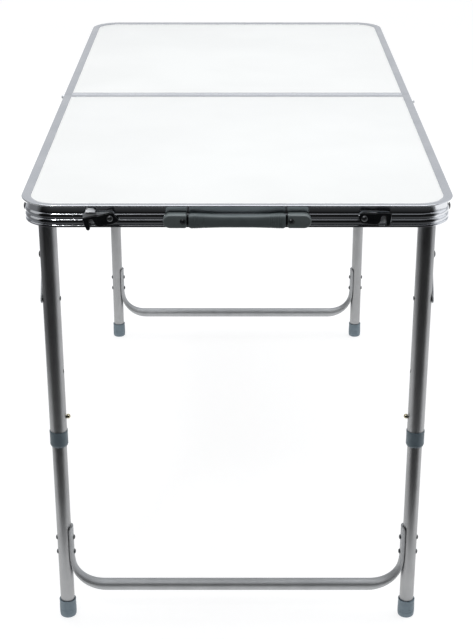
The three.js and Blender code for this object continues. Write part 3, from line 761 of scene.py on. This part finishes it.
def pivot_pin():
    """Shouldered pin from inside the leg to outside the rail, with a plastic washer's space between them."""
    low, high = corners("far_right_pivot_pin")
    inner = LEG_X - UPPER_R - SEAM_GAP - low.x
    shaft_end = HALF_WIDTH - RIB_OUT + SEAM_GAP - low.x
    length = high.x - low.x
    head = (high.z - low.z) / 2
    pin = lathe([
        (0, 0, 0), (head * 0.7, 0.3, 1.2), (head, inner - 1.2, 0.8), (head, inner, 0.2), (3, inner, 0),
        (3, shaft_end, 0), (head, shaft_end, 0.2), (head, shaft_end + 0.9, 0.4),
        (head * 0.65, length - 0.2, 1.5), (0, length, 0)], 40)
    return through_leg(pin, low.x, PIVOT_Z)


def pivot_washer():
    """Shouldered plastic washer between the leg and the rail."""
    start = LEG_X + UPPER_R + SEAM_GAP
    length = WALL_IN_X - SEAM_GAP - start
    washer = lathe([(3.2, 0, 0.2), (7.5, 0, 0.6), (7.5, 2.4, 0.4), (5.2, 3.0, 0.8),
                    (5.2, length, 0.4), (3.2, length, 0.2)], 40)
    return through_leg(washer, start, PIVOT_Z)


BRACE_FACE = LEG_X - LOWER_R - SEAM_GAP
BRACE_BEND = 42
BRACE_WALL = 1.2
PRESSED = 3.2        # thickness of the brace's pressed ends
PRESSED_FROM = 48    # along the tube from its end: fully pressed up to here
PRESSED_TO = 132     # and round again from here on
PRESSED_BORE = 0.4   # what is left of the bore there
SADDLE = 1.2         # how far the flattened tube spreads round the leg, as a share of its width
BRACE_RIVETS = (20.3, 46)    # down from the tube's end
RIVET_HEAD = (4.0, 2.4)


def brace_mesh():
    """The U-shaped tube, drawn at the far end, its ends pressed into a saddle round each leg."""
    centre_x = BRACE_FACE - BRACE_R
    top = BRACE_HIGH.z
    corner = (centre_x - BRACE_BEND, BRACE_Z + BRACE_BEND)
    straight = top - corner[1]
    stations = [(centre_x, top - drop) for drop in (0, 0.8, 2, 4, 7)]
    stations += [(centre_x, top - PRESSED_FROM - (straight - PRESSED_FROM) * k / 4) for k in range(4)]
    stations += [(x, z) for x, z, _ in arc(corner, BRACE_BEND, 0, -90, 20)]
    path = [Vector((x, LEG_Y, z)) for x, z in stations]
    path += [Vector((-p.x, p.y, p.z)) for p in reversed(path)]
    walked = [0.0]
    for before, here in zip(path, path[1:]):
        walked.append(walked[-1] + (here - before).length)
    from_end = [min(w, walked[-1] - w) for w in walked]
    loops = [brace_loop(path, i, BRACE_R, PRESSED, w) for i, w in enumerate(from_end)]
    bore = [brace_loop(path, i, BRACE_R - BRACE_WALL, PRESSED_BORE, w) for i, w in enumerate(from_end)]
    return swept(loops + bore[::-1], hollow=True)


def pressed_share(from_end):
    share = min(max((PRESSED_TO - from_end) / (PRESSED_TO - PRESSED_FROM), 0), 1)
    return share * share * (3 - 2 * share)


def brace_loop(path, i, radius, pressed, from_end):
    """One section of the brace: a circle, or pressed flat and wrapped round the leg near its ends."""
    sides = 32
    ahead = (path[min(i + 1, len(path) - 1)] - path[max(i - 1, 0)]).normalized()
    outward = ahead.cross(Y).normalized()
    share = pressed_share(from_end)
    narrow = 1 - 0.2 * max(0, 1 - from_end / 5) ** 2
    leg_r = LOWER_R + SEAM_GAP
    loop = []
    for k in range(sides):
        turn = 2 * pi * k / sides
        depth, width = BRACE_R - radius * cos(turn), radius * sin(turn)
        flat = PRESSED / 2 + (depth - BRACE_R) * pressed / (2 * radius)
        wrap = width * SADDLE * narrow / (leg_r + PRESSED / 2)
        depth += ((leg_r + flat) * cos(wrap) - leg_r - depth) * share
        width += ((leg_r + flat) * sin(wrap) - width) * share
        loop.append(path[i] + outward * (BRACE_R - depth) + Y * width)
    return loop


def brace_rivets():
    """Two rivets that hold a pressed end of the brace to the leg, heads on both sides."""
    heads = []
    for drop in BRACE_RIVETS:
        z = BRACE_HIGH.z - drop
        thick = PRESSED + (2 * BRACE_R - PRESSED) * (1 - pressed_share(drop))
        start, stop = BRACE_FACE - thick, LEG_X + LOWER_R
        heads.append(against_x(domed_head(*RIVET_HEAD, sink=0.3), start + 0.1, LEG_Y, z))
        heads.append(through_leg(domed_head(*RIVET_HEAD, sink=0.6), stop - 0.2, z))
        heads.append(through_leg(shaft(2.1, stop - start), start, z))
    return merged(*heads)


def leg_piece(half, hand, name, mesh, material, body, slot, node=None):
    """A piece drawn on the far right leg, mirrored to this one; `node` is the CAD node it replaces."""
    leg = f"{half}_{hand}"
    replaces = [f"{leg}_{node}"] if node else []
    piece(f"{leg}_{name}", in_place(mesh, HANDS[hand], HALVES[half]), material, body, replaces)


for half, end in HALVES.items():
    upper, lower, tray = f"{half}_leg", f"{half}_leg_lower", f"{half}_half"
    piece(f"{half}_u_brace", in_place(brace_mesh(), 1, end), BRACE, lower, [f"{half}_leg_brace"])
    for hand, side in HANDS.items():
        leg = (half, hand)
        button = f"{half}_{hand}_snap_button"
        leg_piece(*leg, "outer_leg", upper_tube(), TUBE, upper, "tube", "upper_tube")
        leg_piece(*leg, "leg_collar", stood(leg_collar()), PLASTIC, upper, "plastic", "collar")
        leg_piece(*leg, "inner_leg", lower_tube(), TUBE, lower, "tube", "lower_tube")
        leg_piece(*leg, "foot_cap", stood(leg_foot()), PLASTIC, lower, "plastic", "foot")
        leg_piece(*leg, "brace_rivets", brace_rivets(), DARK_STEEL, lower, "rivet")
        leg_piece(*leg, "button_ball", snap_button(), BRASS, button, "brass", "snap_button")
        spring = placed(f"{half}_{hand}_button_spring", in_place(button_spring(), side, end))
        spring.data.materials.append(SPRING)
        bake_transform(spring)
        leg_piece(*leg, "leg_pin", pivot_pin(), DARK_STEEL, tray, "rivet", "pivot_pin")
        leg_piece(*leg, "pin_washer", pivot_washer(), BLACK, tray, "clasp")


# ---- folding stays
UPPER_LINK_LOW, UPPER_LINK_HIGH = corners("far_right_stay_upper")
LOWER_LINK_LOW, LOWER_LINK_HIGH = corners("far_right_stay_lower")
LINK_THICK = LOWER_LINK_HIGH.x - LOWER_LINK_LOW.x
LINK_HOLE_R = 2.6
SPACER_BORE_R = 2.5
# Radius and height of the stay rivets' heads. A flush one clears what folds past it.
FLUSH = (4.2, 0.25)
DOMED = (4.6, 1.6)
KNEE_HEAD = (5.6, 3.0)
STUD_HEAD = (3.4, 1.2)


def stay_link(start, stop, low_x):
    """Flat link with round ends between two pivots of the far right stay."""
    length = (stop - start).length
    outline = rounded(capsule(0, length, STAY_R))
    holes = [rounded(arc((u, 0), LINK_HOLE_R, 0, 345, 23)) for u in (0, length)]
    bar = plate([outline, *holes], LINK_THICK, 0.35)
    ahead = (stop - start).normalized()
    return turned_to(bar, ahead, X.cross(ahead), X, (low_x, start.y, start.z))


def stay_rivet(place, low_x, high_x, inner, outer):
    """Rivet through a stay: `inner` and `outer` are the radius and height of its heads."""
    return merged(
        along_x(shaft(2.4, high_x - low_x), low_x, place.y, place.z),
        along_x(domed_head(*outer), high_x, place.y, place.z),
        against_x(domed_head(*inner), low_x, place.y, place.z))


def spacer(place, low_x, high_x, radius):
    """Sleeve on a stay's rivet, between these two X."""
    length = high_x - low_x
    sleeve = lathe([(SPACER_BORE_R, 0, 0.1), (radius, 0, 0.3), (radius, length, 0.3),
                    (SPACER_BORE_R, length, 0.1)], 32)
    return along_x(sleeve, low_x, place.y, place.z)


def knee_rivet():
    return stay_rivet(STAY_KNEE, LOWER_LINK_LOW.x - 0.05, UPPER_LINK_HIGH.x + 0.1, FLUSH, KNEE_HEAD)


def rail_rivet():
    return merged(stay_rivet(STAY_RAIL, UPPER_LINK_LOW.x - 0.2, WALL_IN_X - 0.4, DOMED, DOMED),
                  spacer(STAY_RAIL, UPPER_LINK_HIGH.x + 0.2, WALL_IN_X - 0.4, 5.5))


def leg_stud():
    return merged(stay_rivet(STAY_STUD, LEG_X - UPPER_R - 0.1, LOWER_LINK_HIGH.x, STUD_HEAD, FLUSH),
                  spacer(STAY_STUD, LEG_X + UPPER_R - 1.0, LOWER_LINK_LOW.x - 0.2, 4.5))


for half in HALVES:
    for hand in HANDS:
        leg = (half, hand)
        upper, lower = f"{half}_{hand}_stay_upper", f"{half}_{hand}_stay_lower"
        long_link = stay_link(STAY_RAIL, STAY_KNEE, UPPER_LINK_LOW.x)
        short_link = stay_link(STAY_KNEE, STAY_STUD, LOWER_LINK_LOW.x)
        leg_piece(*leg, "stay_long_link", long_link, ZINC, upper, "zinc", "stay_upper")
        leg_piece(*leg, "stay_short_link", short_link, ZINC, lower, "zinc", "stay_lower")
        leg_piece(*leg, "stay_knee_rivet", knee_rivet(), DARK_STEEL, upper, "rivet")
        leg_piece(*leg, "stay_rail_rivet", rail_rivet(), DARK_STEEL, f"{half}_half", "rivet")
        leg_piece(*leg, "stay_leg_stud", leg_stud(), DARK_STEEL, f"{half}_leg", "rivet")


# ---- carrying handle
# The handle, the clasps and their studs are drawn where they sit, on the right.
def end_piece(hand, name, mesh, material, body, node=None):
    """A piece drawn on the right, mirrored for the left; `node` is the CAD node it replaces."""
    replaces = [f"{node}_{hand}"] if node else []
    piece(f"{name}_{hand}", in_place(mesh, HANDS[hand]), material, body, replaces)


MOUNT_LOW, MOUNT_HIGH = corners("handle_mount_right")
GRIP_LOW, GRIP_HIGH = corners("handle_grip")
MOUNT_DEPTH = MOUNT_HIGH.y - MOUNT_LOW.y
HANDLE_Z = (MOUNT_LOW.z + MOUNT_HIGH.z) / 2
RAIL_FACE_Y = MOUNT_HIGH.y - SEAM
CAP_FACE_Y = RAIL_FACE_Y - MOUNT_DEPTH
SCREW_X = MOUNT_LOW.x + 4.8


def cushion(outline, depth, edge, base_y, z):
    """A plate in X and Z that grows towards -Y and rounds over at its front edge."""
    steps = 5
    rows = [(0.0, 0.0)]
    rows += [(depth - edge + edge * sin(a), edge * (1 - cos(a)))
             for a in (pi / 2 * k / steps for k in range(steps + 1))]
    return swept([[Vector((p.x, base_y - reach, z + p.y)) for p in inset(outline, shrink)]
                  for reach, shrink in rows])


def inset(outline, distance):
    """The closed outline moved inwards, with the same number of points."""
    if distance == 0:
        return [p.copy() for p in outline]
    area = sum(a.x * b.y - b.x * a.y for a, b in zip(outline, outline[1:] + outline[:1]))
    hand = copysign(1, area)
    moved = []
    for i, here in enumerate(outline):
        before = here - outline[i - 1]
        after = outline[(i + 1) % len(outline)] - here
        before.normalize()
        after.normalize()
        normal = Vector((-(before.y + after.y), before.x + after.x)) * hand
        normal.normalize()
        spread = max(0.5, normal.dot(Vector((-after.y, after.x)) * hand))
        moved.append(here + normal * (distance / spread))
    return moved


def handle_cap():
    """Cap with a round outer end, a mouth for the grip's end and a seat for its screw."""
    r = (MOUNT_HIGH.z - MOUNT_LOW.z) / 2
    outline = rounded([
        (MOUNT_LOW.x, -r, 2.4), *arc((MOUNT_HIGH.x - r, 0), r, -90, 90, 20), (MOUNT_LOW.x, r, 2.4)])
    cap = cushion(outline, MOUNT_DEPTH, 2.1, RAIL_FACE_Y, HANDLE_Z)
    mouth = box((MOUNT_LOW.x - 2, CAP_FACE_Y + 2.4, HANDLE_Z - 7.5),
                (MOUNT_LOW.x + 9, RAIL_FACE_Y - 4.4, HANDLE_Z + 7.5), 0.8)
    seat = towards_near(shaft(4.3, 3, 32), SCREW_X, CAP_FACE_Y + 1.2, HANDLE_Z)
    return cut(cap, [mouth, seat])


def handle_screw():
    """Pan head with a cross recess, sunk in its seat."""
    head = lathe([(0, -1.2, 0), (3.8, -1.2, 0), (3.8, 0.4, 0.8), (2.4, 1.5, 1.5), (0, 1.8, 0)], 40)
    cross = [box((-u, -v, 0.5), (u, v, 3)) for u, v in ((2.2, 0.45), (0.45, 2.2))]
    return towards_near(cut(head, cross), SCREW_X, CAP_FACE_Y + 1.3, HANDLE_Z)


GROOVE_PLACES = [45 + 2.4 * k for k in range(7)]
GROOVES = {round(place * 10) for place in GROOVE_PLACES}    # in tenths of a millimetre
GROOVE_DEPTH = 0.35


def grip():
    """Waisted strap grip: bowed faces, a rounded edge all round and fine grooves near both ends."""
    half = GRIP_HIGH.x
    end_half = (GRIP_HIGH.z - GRIP_LOW.z) / 2
    waist = end_half - 1.5
    back, front = GRIP_HIGH.y - SEAM, GRIP_LOW.y - SEAM
    loops = []
    # Each groove takes three sections: its bottom and its two edges.
    grooved = [side * round(place + across, 1) for side in HANDS.values() for place in GROOVE_PLACES
               for across in (-0.7, 0.0, 0.7)]
    for x in sorted({*range(-66, 67, 3), *grooved}):
        reach = abs(x) / half
        swell = waist + (end_half - waist) * min(1, max(0, (reach - 0.25) / 0.6)) ** 1.6
        tuck = 1.2 * max(0, (reach - 0.985) / 0.015)
        groove = GROOVE_DEPTH if round(abs(x) * 10) in GROOVES else 0.0
        loops.append([Vector((x, y, HANDLE_Z + z)) for y, z in
                      grip_loop(swell - tuck - groove, back - tuck, front + tuck + groove)])
    return swept(loops)


def grip_loop(half_height, back, front):
    """Section of the grip: nearly flat back, crowned front."""
    crown = 1.1
    flat = half_height * 0.35
    return rounded([
        (back, -half_height, 2.2), (front + crown, -half_height, 4.0), (front, -flat, 9.0),
        (front, flat, 9.0), (front + crown, half_height, 4.0), (back, half_height, 2.2)])


def grip_tongue():
    """Flat end of the strap that runs from the grip into the right-hand cap."""
    low_z, high_z = HANDLE_Z - 6.6, HANDLE_Z + 6.6
    middle_y = RAIL_FACE_Y - 8.4
    start, stop = GRIP_HIGH.x - 1.5, MOUNT_LOW.x + 8
    steps = 12
    section = [(-1.4, low_z + 0.8), (-0.9, low_z), (0.9, low_z), (1.4, low_z + 0.8),
               (1.4, high_z - 0.8), (0.9, high_z), (-0.9, high_z), (-1.4, high_z - 0.8)]
    places = [start + (stop - start) * k / steps for k in range(steps + 1)]
    return swept([[Vector((x, middle_y + y, z)) for y, z in section] for x in places])


piece("handle_strap_grip", in_place(grip()), HANDLE, "handle_grip", ["handle_grip"])
for hand, side in HANDS.items():
    end_piece(hand, "handle_cap", handle_cap(), CAP, "near_half", "handle_mount")
    end_piece(hand, "handle_screw", handle_screw(), DARK_STEEL, "near_half")
    tongue = placed(f"handle_tongue_{hand}", in_place(grip_tongue(), side))
    tongue.data.materials.append(BLACK)
    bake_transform(tongue)


# ---- clasps
CLASP = joint_place("clasp_right_turn") - TO_SEAM
LEVER_LOW, LEVER_HIGH = corners("clasp_lever_right")
LEVER_BACK, LEVER_FRONT = LEVER_HIGH.y - SEAM, LEVER_LOW.y - SEAM
DROOP = -JOINTS["clasp_left_turn"]["range_deg"][0]
CLASP_BORE = rounded(arc((0, 0), 2.9, 0, 345, 23))
CLASP_HEAD_BACK = [(0, 0, 0), (3.4, 0, 0.5), (3.4, 2, 0.3)]    # riveted end inside the rail


def clasp_lever(droop):
    """Black lever: round about its rivet, with a hook at its free end that opens downwards."""
    tail = rounded([(0.5, 7.4, 0), (-5, 7.2, 3), (-11.5, -6.4, 2.5), (-2, -8.4, 0)], closed=False)
    outline = rounded([
        *([(p.x, p.y, 0) for p in tail] if droop else arc((0, 0), 7.6, 95, 250, 16)), (10, -8.2, 2),
        (12.5, -9.4, 1.5), (19, -8.4, 3), (22.4, -3, 3), (22.8, 4.0, 3), (29.4, 4.0, 3), (30.2, -9.4, 1.5),
        (32.8, -11.0, 1.6), (35.3, -9.6, 1.5), (37.2, 7.2, 1.2), (31, 7.5, 2), (19, 7.7, 2), (15.5, 6.6, 2)])
    lever = plate([outline, CLASP_BORE], LEVER_BACK - LEVER_FRONT, edge=0.5)
    lever.transform(Matrix.Rotation(radians(-droop), 4, "Z"))
    return towards_near(lever, CLASP.x, LEVER_BACK, CLASP.z)


def clasp_plate(tabbed):
    """Zinc plate behind the lever. The left one has a pressed tab above it that leans back to a nub."""
    low, high = corners("clasp_plate_right")
    thick = high.y - low.y
    outline = rounded([
        *arc((0, 0), 7.2, 90, 270, 16), (36, -8.2, 1), (37.5, -6.7, 1), (37.5, 4, 2), (34, 6.4, 2)])
    base = plate([outline, CLASP_BORE], thick, 0.3)
    if tabbed:
        stem = plate([rounded([(20, 2, 1), (33.2, 2, 1), (33.2, 10, 1), (20, 10, 1)])], thick + 0.2, 0.2)
        base = merged(base, stem, clasp_tab())
    return towards_near(base, CLASP.x, high.y - SEAM, CLASP.z)


def clasp_tab():
    """The left plate's tab: it leans back as it rises, and steps in to a narrower nub."""
    centre, bottom, rise, steps = 26.6, 8.3, 5.8, 12
    foot_half, step_in, step_at, step_sharpness = 6.7, 2.3, 0.55, 16
    top_thick, lean = 0.6, 4.3
    loops = []
    for k in range(steps + 1):
        share = k / steps
        half = foot_half - step_in / (1 + exp(step_sharpness * (step_at - share)))
        front = top_thick + lean * (1 - share)
        loops.append([Vector((centre + u, bottom + rise * share, v)) for u, v in
                      rounded([(-half, 0, 0), (half, 0, 0), (half, front, 0.5), (-half, front, 0.5)])])
    return swept(loops)


def clasp_rivet():
    """Rivet through rail, plate and lever, its head dimpled in the middle."""
    low, high = corners("clasp_rivet_right")
    length = high.y - low.y
    head_start = LEVER_BACK - LEVER_FRONT + SEAM_GAP
    shaft_top = high.y - SEAM - LEVER_BACK + head_start
    rivet = lathe([
        *CLASP_HEAD_BACK, (2.6, 2, 0), (2.6, shaft_top, 0), (4.4, shaft_top, 0.3),
        (4.2, shaft_top + 0.9, 0.8), (2.8, length - 0.4, 1.2), (1.3, length - 0.1, 0.3),
        (1.1, length - 0.7, 0.3), (0, length - 0.7, 0)], 40)
    return towards_near(rivet, CLASP.x, high.y - SEAM, CLASP.z)


def catch_stud():
    """Headed stud on the far end that the lever's hook drops over."""
    low, high = corners("catch_stud_right")
    length = high.y - low.y
    stud = lathe([
        *CLASP_HEAD_BACK, (2.5, 2, 0), (2.5, length - 2.2, 0.3), (4.4, length - 2.2, 0.3),
        (4.4, length - 1.1, 0.5), (2.6, length, 1.2), (0, length, 0)], 40)
    return turned_to(stud, X, -Z, Y, ((low.x + high.x) / 2, low.y - SEAM, (low.z + high.z) / 2))


for hand in HANDS:
    lever, backing = clasp_lever(DROOP if hand == "left" else 0), clasp_plate(tabbed=hand == "left")
    end_piece(hand, "clasp_hook_lever", lever, BLACK, f"clasp_{hand}", "clasp_lever")
    end_piece(hand, "clasp_backing", backing, ZINC, "near_half", "clasp_plate")
    end_piece(hand, "clasp_pivot", clasp_rivet(), DARK_STEEL, "near_half", "clasp_rivet")
    end_piece(hand, "clasp_catch", catch_stud(), ZINC, "far_half", "catch_stud")


# ---- camera, floor and light
def camera():
    """Standing at the handle end, looking down on the table along its length."""
    data = bpy.data.cameras.new("camera")
    data.lens = 81.66
    data.sensor_width = 36
    data.clip_end = 60
    holder = placed("camera", data)
    holder.location = (-0.0009, -2.4745 + SEAM * MM, 1.3391)
    down = 23.33
    holder.rotation_euler = (radians(90 - down), 0, 0)
    bpy.context.scene.camera = holder


def floor():
    """Pale sweep that the table stands on. It ends just in front of the table, and it glows."""
    finish = Finish("pale_floor", roughness=0.9, specular_ior_level=0.1, emission_color=(1, 1, 1, 1),
                    emission_strength=0.78)
    finish.colour(finish.noise(0.6, detail=2), (0.33, 0.33, 0.33), (0.36, 0.36, 0.36))
    outline = [(-0.9, -0.76), (0.75, -0.76), (3.2, -1.5), (6, 14), (-4, 14)]
    mesh = bpy.data.meshes.new("floor")
    mesh.from_pydata([(x, y, 0) for x, y in outline], [], [tuple(range(len(outline)))])
    mesh.materials.append(finish.material)
    holder = placed("floor", mesh)


def softbox(name, place, target, width, height, power):
    data = bpy.data.lights.new(name, "AREA")
    data.shape = "RECTANGLE"
    data.size, data.size_y = width, height
    data.energy = power
    holder = placed(name, data)
    holder.location = place
    holder.rotation_euler = (Vector(target) - Vector(place)).to_track_quat("-Z", "Y").to_euler()


def surroundings():
    """A studio: dark behind the camera, bright elsewhere, brightest overhead, dimmer at the left."""
    world = bpy.data.worlds.new("studio")
    world.use_nodes = True
    tree = world.node_tree
    add, link = tree.nodes.new, tree.links.new
    place = add("ShaderNodeTexCoord")
    split = add("ShaderNodeSeparateXYZ")
    link(place.outputs["Generated"], split.inputs["Vector"])

    def shade(axis, stops):
        """Faintly blue greys: stops are (the direction's share along this axis, grey)."""
        spread = add("ShaderNodeMapRange")
        spread.inputs["From Min"].default_value = -1
        link(split.outputs[axis], spread.inputs["Value"])
        return ramp(tree, spread.outputs["Result"],
                    [((share + 1) / 2, (grey, grey * 1.01, grey * 1.03)) for share, grey in stops])

    def mixed(kind, first, second):
        node = add("ShaderNodeMixRGB")
        node.blend_type = kind
        node.inputs["Fac"].default_value = 1
        link(first, node.inputs["Color1"])
        link(second, node.inputs["Color2"])
        return node.outputs["Color"]

    level = shade("Y", [(-0.48, 0.006), (-0.15, 0.6), (0.9, 0.62)])
    upright = shade("Z", [(-0.6, 0.07), (-0.1, 0.0), (0.62, 0.0), (0.94, 0.52)])
    across = shade("X", [(-0.85, 0.3), (-0.3, 1.0)])
    sky = mixed("MULTIPLY", mixed("ADD", level, upright), across)
    link(sky, tree.nodes["Background"].inputs["Color"])
    bpy.context.scene.world = world


camera()
floor()
surroundings()
softbox("overhead_softbox", (0.1, 0.15, 3.1), (0, -0.15, 0.7), 3.0, 1.6, 32)
softbox("key_softbox", (-1.05, -2.7, 3.4), (0, -0.5, 0.5), 0.32, 0.5, 18)
softbox("left_softbox", (-3.2, -0.6, 1.9), (0, 0, 0.5), 2.4, 2.4, 7)
softbox("right_softbox", (3.2, 0.2, 1.8), (0, 0, 0.5), 2.4, 2.4, 7)
bpy.context.scene.view_settings.view_transform = "Standard"
